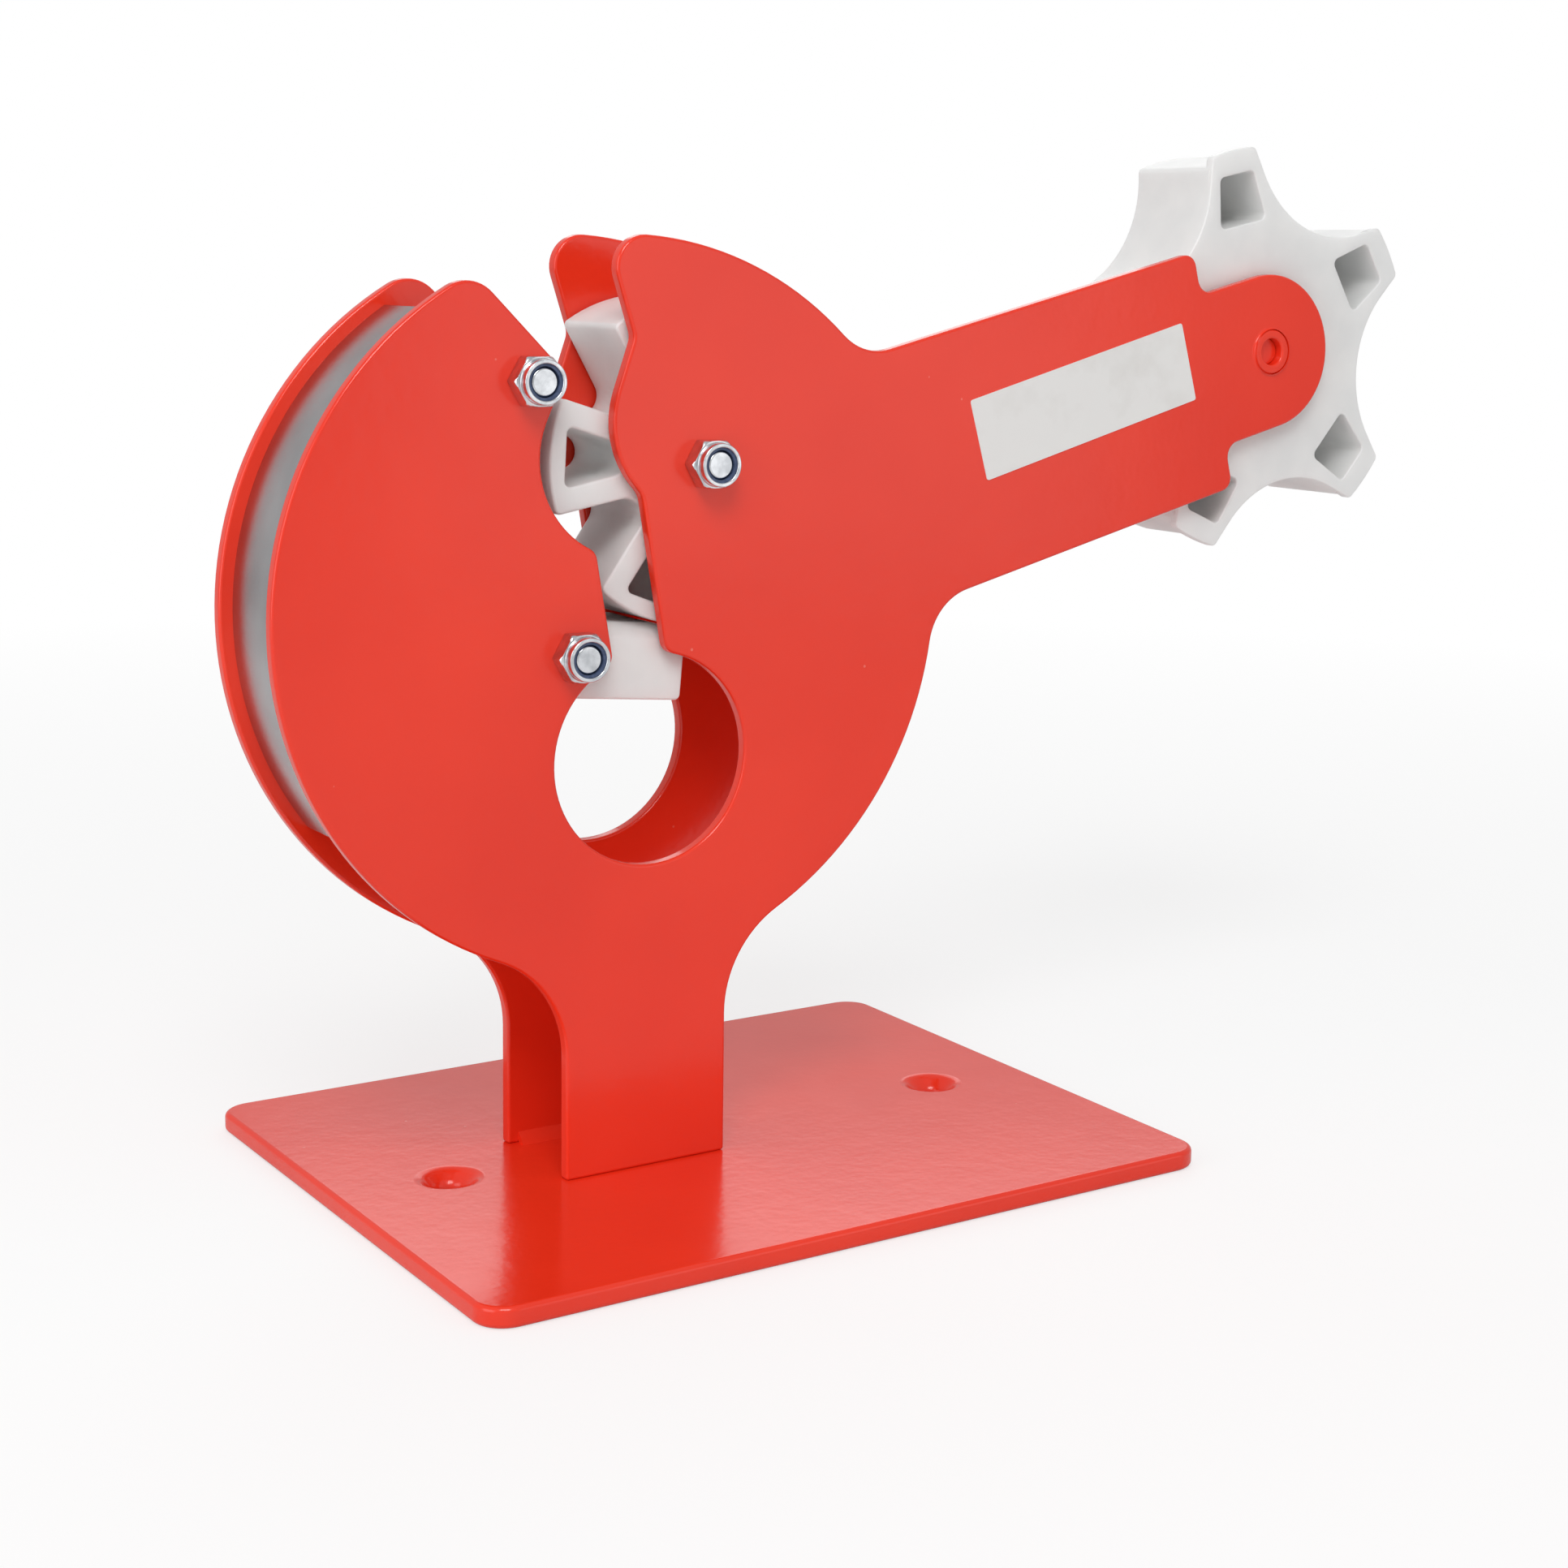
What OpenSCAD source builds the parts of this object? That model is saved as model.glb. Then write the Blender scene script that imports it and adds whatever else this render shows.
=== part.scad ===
// Bag neck sealer: two side plates on a base plate hold a slotted round head and a tape arm.
// X runs to the right along the arm, Y away from the user and Z up, in millimetres.
// The origin is the middle of the base plate's underside.

/* [Base plate] */
// Length of the base plate, left to right
base_l = 140; // [120:1:180]
// Depth of the base plate, front to back
base_d = 114; // [90:1:150]
// Thickness of the base plate
base_t = 3.5; // [3:0.5:6]
// Corner radius of the base plate
base_r = 5.5; // [2:0.5:12]
// Distance between the two bench screw holes
screw_pitch = 100; // [80:1:110]
// Radius of a bench screw hole
screw_r = 2.75; // [2:0.05:3.5]
// Radius of the countersink at the top face
sink_r = 5.2; // [4.2:0.1:5.7]

/* [Head and leg] */
// Thickness of each side plate
plate_t = 2.5; // [2:0.1:4]
// Clear gap between the side plates
gap = 20; // [18:0.5:26]
// X of the centre of the round head
head_x = -22.5; // [-30:0.5:-15]
// Height of the centre of the round head
head_z = 100.7; // [96:0.1:110]
// Radius of the round head
head_r = 62.2; // [61.5:0.1:65]
// Width of the leg
leg_w = 30.8; // [26:0.2:40]
// How far the leg stands to the right of the head's centre
leg_shift = 3.7; // [0:0.1:8]
// Radius of the fillets between the leg and the head
leg_fillet = 20; // [12:1:26]
// Size of the weld beads at the foot of the leg
weld = 2; // [1:0.5:3]

/* [Slot and neck hole] */
// Radius of the round neck hole
hole_r = 18.2; // [16:0.1:20]
// How far the neck hole lies to the right of the head's centre
hole_dx = 4.3; // [2:0.1:7]
// How far the neck hole lies below the head's centre
hole_drop = 25.7; // [25:0.1:28]
// Width of the channel that leads down to the neck hole
slot_w = 10; // [8:0.1:11]
// Lean of the channel from the vertical
slot_tilt = 10; // [6:0.5:12]
// How far the channel's middle lies to the right of the neck hole's centre
slot_shift = 0.75; // [0:0.05:1.5]
// Corner radius where the channel opens into the hole and the mouth
slot_corner = 2.5; // [1:0.1:3]
// Radius of the hollow on the left of the mouth
mouth_r = 16.5; // [16:0.1:16.8]
// Height of that hollow's centre above the head's centre
mouth_rise = 25.3; // [25:0.1:26]
// Radius of the bulge that covers the star wheel
bulge_r = 16; // [15.5:0.1:16.5]
// Place of the bulge's centre from the head's centre
bulge_at = [12.8, 31.3];
// Fillet between the bulge and the channel
bulge_fillet = 4; // [2:0.1:5]
// Place of the notch above the bulge, from the head's centre
notch_at = [-2.5, 45.3];
// Radius of the notch above the bulge
notch_r = 3; // [2:0.1:3.5]
// Direction of the left lip of the slot, seen from the head's centre
left_lip_angle = 121.2; // [120:0.1:124]
// Radius of the left lip
left_lip_r = 6; // [5:0.1:7]
// Direction of the right lip of the slot, seen from the head's centre
right_lip_angle = 87.2; // [85:0.1:88]
// Radius of the right lip
right_lip_r = 5.5; // [5:0.1:6]

/* [Tape arm] */
// Place of the hub axle from the head's centre
arm_at = [141.8, 43.3];
// Rise of the arm from the horizontal
arm_tilt = 14.9; // [12:0.1:17]
// Width of the wide part of the arm
arm_w = 46.8; // [42:0.2:50]
// Radius of the arm's narrow round end
arm_end_r = 15; // [12:0.1:17]
// How far before the hub axle the arm steps down
arm_step = 15; // [8:0.5:20]
// Outer radius of the steps' corners
step_corner = 2.5; // [1:0.1:3]
// Inner radius of the steps' corners
step_fillet = 3; // [1:0.1:4]
// Fillet above the arm, against the head
arm_top_fillet = 10.5; // [6:0.5:14]
// Fillet below the arm, against the head
arm_low_fillet = 11; // [6:0.5:14]
// Radius of the raised rim round the axle's threaded hole
rim_r = 4.4; // [4:0.1:6]
// Height of that rim
rim_h = 0.5; // [0.3:0.1:1]

/* [Bolts and sleeves] */
// Radius of the three through bolts
bolt_r = 2.5; // [2:0.1:3]
// Clearance round a bolt in a hole
bolt_fit = 0.05; // [0.02:0.01:0.1]
// Running clearance of a wheel on its sleeve
run_fit = 0.05; // [0.02:0.01:0.1]
// Outer radius of the sleeves between the plates
sleeve_r = 4; // [3.6:0.1:4.6]
// Width across flats of the bolt heads and lock nuts
hex_af = 8; // [7.5:0.1:9]
// Height of a bolt head
bolt_head_h = 3.5; // [2.5:0.1:4]
// Height of the hexagon of a lock nut
nut_h = 3.2; // [2.5:0.1:4]
// Height of the round collar of a lock nut
collar_h = 1.8; // [1:0.1:2.4]
// Outer radius of that collar
collar_r = 3.7; // [3.5:0.1:3.9]
// Outer radius of the nylon ring in the collar
insert_r = 3; // [2.8:0.05:3.2]
// Place of the entry bolt from the head's centre
entry_at = [-18, 38.2];
// Radius of the plate round the entry bolt
entry_boss_r = 5.2; // [5:0.1:5.4]

/* [Star wheel] */
// Place of the star wheel's axle from the head's centre
wheel_at = [14.6, 24.2];
// Outer radius of the star wheel
wheel_r = 28; // [26:0.1:28.4]
// Side clearance of the moving parts between the plates
side_fit = 0.5; // [0.3:0.1:1]
// Number of lobes of the star wheel
wheel_lobes = 5; // [5:1:5]
// Direction of the first lobe at rest
wheel_phase = 33; // [0:1:71]
// Half the angle that a lobe's tip takes
wheel_tip = 20.5; // [19:0.5:22]
// Radius at the bottom of the hollows between lobes
wheel_valley = 13.4; // [12:0.1:15]
// Radius of the round bottom of those hollows
wheel_hollow = 3.2; // [2.5:0.1:4]
// Tip wall of a hollow lobe
wheel_tip_wall = 3; // [2:0.1:4]
// Half the width of a lobe's pocket near the tip
wheel_pocket = 4.9; // [3.5:0.1:5.2]
// Radius at the inner end of the pockets
wheel_core = 13.9; // [12:0.1:15]
// Radius of the lobe tips' corners
wheel_corner = 1; // [0.5:0.1:1.5]

/* [Gate and knife] */
// Place of the gate's pivot from the head's centre
gate_at = [-10, -7.2];
// Droop of the gate at rest
gate_tilt = 5; // [3:0.5:7]
// Reach of the gate from its pivot
gate_reach = 22; // [20:0.1:22.5]
// Depth of the gate below its pivot
gate_drop = 7.5; // [6.5:0.1:8]
// Height of the gate above its pivot
gate_rise = 5.4; // [5:0.1:5.6]
// Height of the gate at its free end
gate_nose = 3.4; // [2:0.1:3.6]
// Depth of the bevel along the top front edge
gate_bevel = 2.5; // [1:0.1:3]
// Length of the gate's tail, from its pivot
tail_l = 14; // [12:0.5:16]
// Depth of the tail below the pivot
tail_drop = 3.5; // [3:0.1:4]
// Radius of the stop pin under the tail
stop_r = 2; // [1.5:0.1:2.5]
// Length of the stop pin
stop_l = 14; // [12:0.5:18]
// Gap between the tail and the stop pin at rest
stop_gap = 0.3; // [0.2:0.1:0.6]
// Thickness of the knife blade
blade_t = 0.6; // [0.4:0.1:1]
// Width of the knife blade across the tape
blade_w = 14; // [12:0.5:16]
// Height of the knife blade
blade_h = 6.1; // [5:0.1:6.5]
// How far the blade's teeth stand above the gate's nose
blade_up = 1.2; // [0.8:0.1:1.3]
// Number of teeth along the knife blade
blade_teeth = 14; // [8:1:20]
// Radius of a blade screw's shank
blade_screw_r = 1.2; // [1:0.1:1.4]
// Distance between the two blade screws
blade_screw_pitch = 8; // [7:0.5:9]
// Radius of the spring's wire
wire_r = 0.5; // [0.4:0.05:0.55]
// Radius of the spring's coil, to the middle of the wire
coil_r = 5.4; // [5.3:0.1:5.7]
// Whole turns in the spring's coil
coil_turns = 3; // [2:1:3]

/* [Tape hub] */
// Radius of the hub's seat for a tape core
hub_r = 38; // [36:0.1:38.2]
// Radius of the lip at the front of the hub
lip_r = 39.7; // [38.8:0.1:41]
// Thickness of that lip
lip_t = 1.8; // [1:0.1:3]
// Width of the hub along its axle
hub_w = 22.1; // [18:0.1:26]
// Gap between the arm and the hub
hub_gap = 0.4; // [0.3:0.1:1]
// Number of lobes of the hub
hub_lobes = 5; // [5:1:5]
// Direction of the hub's first lobe at rest
hub_phase = 31; // [0:1:71]
// Half the angle that a hub lobe's tip takes
hub_tip = 10.2; // [9:0.1:12]
// Radius at the bottom of the hollows between hub lobes
hub_valley = 26.6; // [24:0.1:28]
// Wall at the tip of a hub lobe's pocket
hub_wall = 3; // [2:0.1:4]
// Inner radius of a hub lobe's pocket
hub_core = 24; // [22:0.5:25]
// Depth of the pockets from the front of the hub
pocket_deep = 16; // [8:0.5:17]
// Radius of the axle bolt's shoulder
axle_r = 4; // [3.6:0.1:5]
// Radius of the axle bolt's head
axle_head_r = 6.5; // [6:0.1:8]
// Height of the axle bolt's head
axle_head_h = 3.6; // [3:0.1:5]
// Thickness of the washer behind the hub
washer_t = 0.8; // [0.6:0.1:1.2]
// Radius of the washer behind the hub
washer_r = 8; // [7.5:0.1:10]

/* [Cover strip] */
// Thickness of the steel strip between the plates
strip_t = 1; // [0.8:0.1:1.5]
// How far the strip lies inside the plates' rim
strip_inset = 2.2; // [1:0.1:4]
// Direction of the strip's upper end, seen from the head's centre
strip_top_angle = 124; // [122:1:130]
// Direction of the strip's lower end, seen from the head's centre
strip_end_angle = 217; // [200:1:225]

/* [Hidden] */
$fn = 64;
sag = 0.012; // largest distance of a facet from its arc
eps = 0.5; // how far a cut runs past a face
wall = gap / 2; // inner face of either side plate
face = wall + plate_t; // outer face of either side plate
side_l = gap - 2 * side_fit; // width of what moves between the plates
head_at = [head_x, head_z];
hole_c = head_at + [hole_dx, -hole_drop];
mouth_c = head_at + [0, mouth_rise];
bulge_c = head_at + bulge_at;
notch_c = head_at + notch_at;
entry_c = head_at + entry_at;
wheel_c = head_at + wheel_at;
gate_c = head_at + gate_at;
arm_c = head_at + arm_at;
bolts = [entry_c, wheel_c, gate_c];
hole_bolt_r = bolt_r + bolt_fit;
leg_x0 = head_x + leg_shift - leg_w / 2;
leg_x1 = head_x + leg_shift + leg_w / 2;
end_y = face + nut_h + collar_h; // crown of the lock nuts
hub_front = wall - hub_gap;
hub_back = hub_front - hub_w;
washer_y = hub_back - hub_gap;
axle_y = washer_y - washer_t;
nose_x = gate_reach;
blade_low = gate_nose + blade_up - blade_h;
screw_z = blade_low + 0.4 * blade_h;
spring_room = 6; // width behind the gate's boss left for the spring
spring_gap = 0.9; // plate face to the middle of the first coil
boss_back = -wall + spring_room;
leg_bite = 4; // how far the moving leg reaches into the gate
moving_leg_heading = -30;

// Angle brought into one turn
function turn(a) = (a % 360 + 360) % 360;

// Angle between the points of an arc of radius r
function pace(r) = 2 * acos(1 - sag / max(abs(r), sag));

// Heading of the straight run between two rollers [x, z, r]; r < 0 turns to the right
function run(a, b) =
    let (d = b - a, s = (b[2] - a[2]) / norm([d[0], d[1]]))
    atan2(d[1], d[0]) - asin(max(-1, min(1, s)));

// Points round one roller, from one heading to the next
function bend(c, h0, h1) =
    let (
        t = c[2] < 0 ? -turn(h0 - h1) : turn(h1 - h0),
        n = c[2] == 0 ? 0 : max(1, ceil(abs(t) / pace(c[2])))
    )
    n == 0 ? [[c[0], c[1]]] :
    [for (i = [0:n]) let (h = h0 + t * i / n) [c[0] + c[2] * sin(h), c[1] - c[2] * cos(h)]];

// Outline of a belt that runs round a ring of rollers
function belt(c) =
    let (
        n = len(c),
        h = [for (i = [0:n - 1]) run(c[i], c[(i + 1) % n])],
        p = [for (i = [0:n - 1]) each bend(c[i], h[(i + n - 1) % n], h[i])],
        m = len(p)
    )
    [for (i = [0:m - 1]) if (norm(p[i] - p[(i + 1) % m]) > 0.004) p[i]];

// Direction as a unit vector
function ray(a) = [cos(a), sin(a)];

// Roller at a place with a signed radius
function roller(p, r) = [p[0], p[1], r];

// Place in a frame that leans by a, with its origin at o
function place(o, a, u, v) = o + u * ray(a) + v * ray(a + 90);

// Place of p in that frame
function local(o, a, p) = [(p - o) * ray(a), (p - o) * ray(a + 90)];

// Where a roller that lies v off an axis touches a circle c of radius r from one side
function perch(c, r, v, s) = c[0] + s * sqrt(r * r - (v - c[1]) * (v - c[1]));

// Fillet between the leg's edge at x and the round head
function leg_roller(x, s) =
    let (cx = x + s * leg_fillet, r = head_r + leg_fillet)
    [cx, head_z - sqrt(r * r - (cx - head_x) * (cx - head_x)), -leg_fillet];

// Fillet between the arm's edge and the round head; s is +1 above the arm
function arm_roller(f, s) =
    let (h = local(arm_c, arm_tilt, head_at), v = s * (arm_w / 2 + f))
    roller(place(arm_c, arm_tilt, perch(h, head_r + f, v, 1), v), -f);

// Lip of the slot, inside the round head's rim
function lip(a, r) = roller(head_at + (head_r - r) * ray(a), r);

// Corner beside the channel; c is a circle that it touches, w the corner's place across the channel
function slot_roller(c, cr, w, s, r) =
    let (q = local(hole_c, slot_tilt, c))
    roller(place(hole_c, slot_tilt, w, perch([q[1], q[0]], cr, w, s)), r);

slot_right = slot_shift + slot_w / 2;
slot_left = slot_shift - slot_w / 2;
step_u = -arm_step;

// Rollers along the arm, from below the head's side round to above it
arm_rollers = [
    arm_roller(arm_low_fillet, -1),
    roller(place(arm_c, arm_tilt, step_u - step_corner, step_corner - arm_w / 2), step_corner),
    roller(place(arm_c, arm_tilt, step_u + step_fillet, -arm_end_r - step_fillet), -step_fillet),
    roller(arm_c, arm_end_r),
    roller(place(arm_c, arm_tilt, step_u + step_fillet, arm_end_r + step_fillet), -step_fillet),
    roller(place(arm_c, arm_tilt, step_u - step_corner, arm_w / 2 - step_corner), step_corner),
    arm_roller(arm_top_fillet, 1),
    roller(head_at, head_r)
];

// Rollers down the right of the slot, round the neck hole and up the left of the slot
slot_rollers = [
    lip(right_lip_angle, right_lip_r),
    roller(notch_c, -notch_r),
    roller(bulge_c, bulge_r),
    slot_roller(bulge_c, bulge_r + bulge_fillet, slot_right - bulge_fillet, -1, -bulge_fillet),
    slot_roller(hole_c, hole_r + slot_corner, slot_right + slot_corner, 1, slot_corner),
    roller(hole_c, -hole_r),
    slot_roller(hole_c, hole_r + slot_corner, slot_left - slot_corner, 1, slot_corner),
    slot_roller(mouth_c, mouth_r + slot_corner, slot_left - slot_corner, -1, slot_corner),
    roller(mouth_c, -mouth_r),
    roller(entry_c, entry_boss_r),
    lip(left_lip_angle, left_lip_r)
];

// Outline of a side plate, with the arm or without it
function plate_outline(with_arm) = belt([
    [leg_x1, base_t, 0],
    leg_roller(leg_x1, 1),
    roller(head_at, head_r),
    each (with_arm ? arm_rollers : []),
    each slot_rollers,
    roller(head_at, head_r),
    leg_roller(leg_x0, -1),
    [leg_x0, base_t, 0]
]);

// Rollers of one lobe of a star: two corners, the rim between them and the hollow after them
function lobe(a, r, tip, corner, hollow) =
    let (w = tip - asin(corner / (r - corner)))
    [
        roller((r - corner) * ray(a - w), corner),
        [0, 0, r],
        roller((r - corner) * ray(a + w), corner),
        roller(hollow[0] * ray(a + hollow[1]), -hollow[2])
    ];

// Turns the upright side view into the model: local Z points to the front
module side() {
    rotate([90, 0, 0]) children();
}

// Moves to a place on the side view
module at(p) {
    translate([p[0], p[1], 0]) children();
}

// Round bar between two depths
module bar(r, y0, y1) {
    translate([0, 0, y0]) cylinder(r = r, h = y1 - y0);
}

// Tube between two depths
module tube(r, bore, y0, y1) {
    difference() {
        bar(r, y0, y1);
        bar(bore, y0 - eps, y1 + eps);
    }
}

// Plate with a given outline between two depths
module slab(outline, y0, y1) {
    translate([0, 0, y0]) linear_extrude(height = y1 - y0) polygon(outline);
}

module base_plate() {
    x = base_l / 2 - base_r;
    y = base_d / 2 - base_r;
    color([0.88, 0.2, 0.14]) difference() {
        linear_extrude(height = base_t)
            polygon(belt([[x, -y, base_r], [x, y, base_r], [-x, y, base_r], [-x, -y, base_r]]));
        for (s = [-1, 1]) translate([s * screw_pitch / 2, 0, 0]) {
            translate([0, 0, -eps]) cylinder(r = screw_r, h = base_t + 2 * eps);
            translate([0, 0, base_t - (sink_r - screw_r)])
                cylinder(r1 = screw_r, r2 = sink_r + eps, h = sink_r - screw_r + eps);
        }
    }
}

module front_side_plate() {
    color([0.88, 0.2, 0.14]) side() difference() {
        union() {
            slab(plate_outline(true), wall, face);
            at(arm_c) bar(rim_r, wall + plate_t / 2, face + rim_h);
        }
        for (b = bolts) at(b) bar(hole_bolt_r, wall - eps, face + eps);
        at(arm_c) bar(hole_bolt_r, wall - eps, face + rim_h + eps);
    }
}

module back_side_plate() {
    color([0.88, 0.2, 0.14]) side() difference() {
        slab(plate_outline(false), -face, -wall);
        for (b = bolts) at(b) bar(hole_bolt_r, -face - eps, -wall + eps);
    }
}

module leg_weld_beads() {
    color([0.84, 0.18, 0.12]) for (s = [0, 1]) mirror([0, s, 0])
        translate([leg_x0 + weld, 0, 0]) rotate([90, 0, 90]) linear_extrude(height = leg_w - 2 * weld)
            polygon([[wall, base_t], [wall, base_t + weld], [wall - weld, base_t]]);
}

module cover_strip() {
    r = head_r - strip_inset;
    color([0.78, 0.79, 0.8]) side() at(head_at) translate([0, 0, -wall]) rotate([0, 0, strip_top_angle])
        rotate_extrude(angle = strip_end_angle - strip_top_angle, $fn = 192)
            translate([r - strip_t, 0]) square([strip_t, gap]);
}

module pivot_bolts() {
    tip = 0.5;
    color([0.72, 0.73, 0.75]) side() for (b = bolts) at(b) {
        bar(bolt_r, -face, end_y - 2 * tip);
        translate([0, 0, end_y - 2 * tip]) cylinder(r1 = bolt_r, r2 = bolt_r - tip, h = tip);
        hex_head(-face - bolt_head_h, -face);
    }
}

// Hexagon whose outer corners are turned off, between two depths
module hex_head(y0, y1) {
    intersection() {
        translate([0, 0, y0]) cylinder(r = hex_af / 2 / cos(30), h = y1 - y0, $fn = 6);
        translate([0, 0, y0]) cylinder(r1 = hex_af / 2, r2 = hex_af / 2 + y1 - y0, h = y1 - y0);
    }
}

module locknuts() {
    color([0.8, 0.81, 0.83]) side() for (b = bolts) at(b) difference() {
        union() {
            mirror([0, 0, 1]) hex_head(-face - nut_h, -face);
            bar(collar_r, face + nut_h - eps, end_y);
        }
        bar(hole_bolt_r, face - eps, end_y + eps);
        bar(insert_r, face + nut_h, end_y + eps);
    }
}

module locknut_nylon_rings() {
    color([0.45, 0.55, 0.75]) side() for (b = bolts) at(b)
        tube(insert_r, hole_bolt_r, face + nut_h, end_y - 0.4);
}

module entry_spacer_tube() {
    color([0.7, 0.71, 0.73]) side() at(entry_c) tube(sleeve_r, hole_bolt_r, -wall, wall);
}

module wheel_axle_tube() {
    color([0.7, 0.71, 0.73]) side() at(wheel_c) tube(sleeve_r, hole_bolt_r, -wall, wall);
}

module gate_axle_tube() {
    color([0.7, 0.71, 0.73]) side() at(gate_c) tube(sleeve_r, hole_bolt_r, -wall, wall);
}

module star_wheel() {
    step = 360 / wheel_lobes;
    hollow = [wheel_valley + wheel_hollow, step / 2, wheel_hollow];
    angles = [for (i = [0:wheel_lobes - 1]) wheel_phase + i * step];
    outline = belt([for (a = angles) each lobe(a, wheel_r, wheel_tip, wheel_corner, hollow)]);
    out = wheel_r - wheel_tip_wall - wheel_corner;
    in_r = 0.6 * wheel_pocket;
    color([0.94, 0.94, 0.93]) side() at(wheel_c) difference() {
        slab(outline, -side_l / 2, side_l / 2);
        for (a = angles) rotate([0, 0, a]) slab(belt([
            [out, wheel_corner - wheel_pocket, wheel_corner],
            [out, wheel_pocket - wheel_corner, wheel_corner],
            [wheel_core + in_r, 0, in_r]
        ]), -side_l / 2 - eps, side_l / 2 + eps);
        bar(sleeve_r + run_fit, -side_l / 2 - eps, side_l / 2 + eps);
    }
}

// Turns to the gate's own frame, with its pivot at the origin
module gate_frame() {
    side() at(gate_c) rotate([0, 0, -gate_tilt]) children();
}

// Turns the gate's frame so that local X runs across the tape, Y up and Z out of the nose
module nose_frame() {
    rotate([0, 90, 0]) children();
}

module gate_block() {
    r = 1;
    tail_r = 2.5;
    chamfer = 5;
    outline = belt([
        [0, 0, gate_drop],
        [nose_x - r, r - gate_drop, r],
        [nose_x, gate_nose, 0],
        [nose_x - chamfer, gate_rise, 0],
        [chamfer, gate_rise, 0],
        [0, 0, gate_rise],
        [tail_r - tail_l, tail_r - tail_drop, tail_r],
        [-gate_drop, -tail_drop, 0]
    ]);
    color([0.94, 0.94, 0.93]) gate_frame() difference() {
        slab(outline, -side_l / 2, side_l / 2);
        bar(sleeve_r + run_fit, -side_l / 2 - eps, side_l / 2 + eps);
        translate([-2 * tail_l, -2 * gate_drop, -side_l / 2 - eps])
            cube([2 * tail_l + gate_drop, 4 * gate_drop, boss_back + side_l / 2 + eps]);
        nose_frame() {
            translate([0, 0, -tail_l]) linear_extrude(height = 2 * tail_l + gate_reach) polygon([
                [-side_l / 2 - eps, gate_rise - gate_bevel - eps],
                [-side_l / 2 + gate_bevel + eps, gate_rise + eps],
                [-side_l / 2 - eps, gate_rise + eps]
            ]);
            translate([-blade_w / 2 - bolt_fit, blade_low - bolt_fit, nose_x - blade_t])
                cube([blade_w + 2 * bolt_fit, blade_h, blade_t + eps]);
            for (s = [-1, 1]) translate([s * blade_screw_pitch / 2, screw_z, nose_x - leg_bite - eps])
                cylinder(r = blade_screw_r + bolt_fit, h = leg_bite + 2 * eps);
        }
        leg_hole();
    }
}

// Hole in the gate for the spring's moving leg
module leg_hole() {
    e = coil_exit();
    translate([e[0], e[1], e[2]]) rotate([0, 90, e[3]])
        cylinder(r = wire_r + bolt_fit, h = gate_drop + leg_bite + eps, $fn = 24);
}

// Stop pin's centre in the gate's frame
function stop_c() = [3 - tail_l, -tail_drop - stop_gap - stop_r];

// Depth of the coil's two ends and its headings, in the gate's frame
function coil_low() = -wall + spring_gap;
function coil_high() = boss_back - spring_gap + 0.1;
function coil_start() = run(roller(stop_c(), stop_r + wire_r + 0.1), [0, 0, -coil_r]);
function coil_exit() =
    let (h = moving_leg_heading)
    [-coil_r * sin(h), coil_r * cos(h), coil_high(), h];

// Path of the spring's wire: a leg under the stop pin, the coil and a leg into the gate
function spring_path() =
    let (
        h0 = coil_start(),
        t = turn(h0 - moving_leg_heading) + 360 * coil_turns,
        n = ceil(t / 14),
        e = coil_exit(),
        c = [-coil_r * sin(h0), coil_r * cos(h0)],
        f = c - (norm(stop_c()) + 2) * ray(h0),
        m = [e[0], e[1]] + (gate_drop - e[0] + leg_bite / 2) / cos(moving_leg_heading) * ray(e[3])
    )
    [
        [f[0], f[1], coil_low(), h0],
        for (i = [0:n]) let (h = h0 - t * i / n)
            [-coil_r * sin(h), coil_r * cos(h), coil_low() + (coil_high() - coil_low()) * i / n, h],
        [m[0], m[1], coil_high(), moving_leg_heading]
    ];

// Round wire swept along a path of [x, y, z, heading]
module wire(path, r) {
    n = 8;
    m = len(path);
    polyhedron(
        points = [
            for (p = path) for (i = [0:n - 1]) let (a = 360 * i / n)
                [p[0] - r * cos(a) * sin(p[3]), p[1] + r * cos(a) * cos(p[3]), p[2] + r * sin(a)]
        ],
        faces = [
            [for (i = [0:n - 1]) i],
            for (j = [0:m - 2]) for (i = [0:n - 1])
                [j * n + i, (j + 1) * n + i, (j + 1) * n + (i + 1) % n, j * n + (i + 1) % n],
            [for (i = [0:n - 1]) m * n - 1 - i]
        ]
    );
}

module gate_spring() {
    color([0.6, 0.61, 0.63]) gate_frame() wire(spring_path(), wire_r);
}

module gate_stop_pin() {
    color([0.7, 0.71, 0.73]) gate_frame() at(stop_c()) bar(stop_r, -wall, -wall + stop_l);
}

module knife_blade() {
    tooth = blade_w / blade_teeth;
    depth = 0.8 * tooth;
    color([0.75, 0.77, 0.8]) gate_frame() nose_frame() difference() {
        translate([-blade_w / 2, blade_low, nose_x - blade_t]) linear_extrude(height = blade_t) polygon([
            [0, 0],
            [blade_w, 0],
            for (i = [blade_teeth:-1:1]) each [[i * tooth, blade_h - depth], [(i - 0.5) * tooth, blade_h]],
            [0, blade_h - depth]
        ]);
        for (s = [-1, 1]) translate([s * blade_screw_pitch / 2, screw_z, 0])
            bar(blade_screw_r + bolt_fit, nose_x - 2 * blade_t, nose_x + eps);
    }
}

module blade_screws() {
    head_r = 1.7 * blade_screw_r;
    head_h = blade_screw_r;
    color([0.7, 0.71, 0.73]) gate_frame() nose_frame()
        for (s = [-1, 1]) translate([s * blade_screw_pitch / 2, screw_z, 0]) difference() {
            union() {
                bar(blade_screw_r, nose_x - leg_bite, nose_x + head_h / 2);
                bar(head_r, nose_x, nose_x + head_h);
            }
            translate([0, 0, nose_x + head_h / 2])
                cylinder(r = head_r / 2, h = head_h, $fn = 6);
        }
}

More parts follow.
